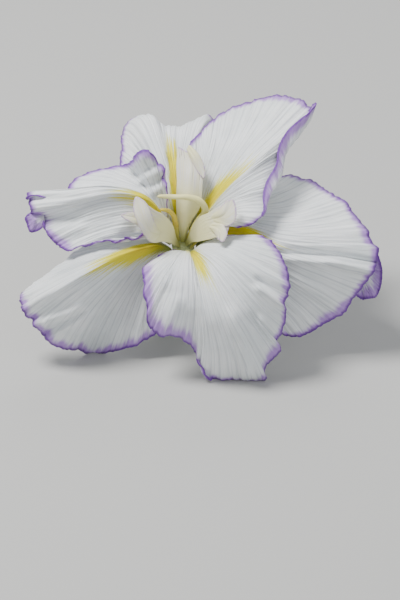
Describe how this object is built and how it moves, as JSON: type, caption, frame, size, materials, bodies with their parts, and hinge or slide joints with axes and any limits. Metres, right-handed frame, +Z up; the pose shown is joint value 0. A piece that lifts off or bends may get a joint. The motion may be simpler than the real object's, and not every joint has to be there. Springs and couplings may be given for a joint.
{
  "type": "japanese iris flower",
  "caption": "Open Japanese iris bloom with wide flat ruffled petals, a crested style in the middle, green bracts and a short cut stem, lying on its petal edges and stem end.",
  "frame": {"origin": "bottom centre of the bounding box, on the surface that the flower lies on", "axes": "+Z up from the surface, +X across the bloom at its widest, -Y the side that the open face looks to and up from"},
  "size_m": [0.1686, 0.1165, 0.1043],
  "materials": {
    "petal": "soft white living petal, a little translucent, with violet edges and yellow marks near the throat",
    "style": "smooth cream plant tissue",
    "stamen": "matt yellow plant tissue",
    "green": "smooth waxy green plant tissue",
    "bract": "waxy green leaf tissue with fine ribs"
  },
  "bodies": {
    "root": {"inner_petal_front": "petal", "inner_petal_left": "petal", "inner_petal_right": "petal", "outer_petal_top": "petal", "outer_petal_right": "petal", "outer_petal_left": "petal", "style_arm_top": "style", "style_arm_right": "style", "style_arm_left": "style", "stamen_top": "stamen", "stamen_left": "stamen", "stamen_right": "stamen", "floral_tube": "green", "ovary": "green", "stem": "green", "bract_outer": "bract", "bract_inner": "bract"}
  },
  "joints": []
}
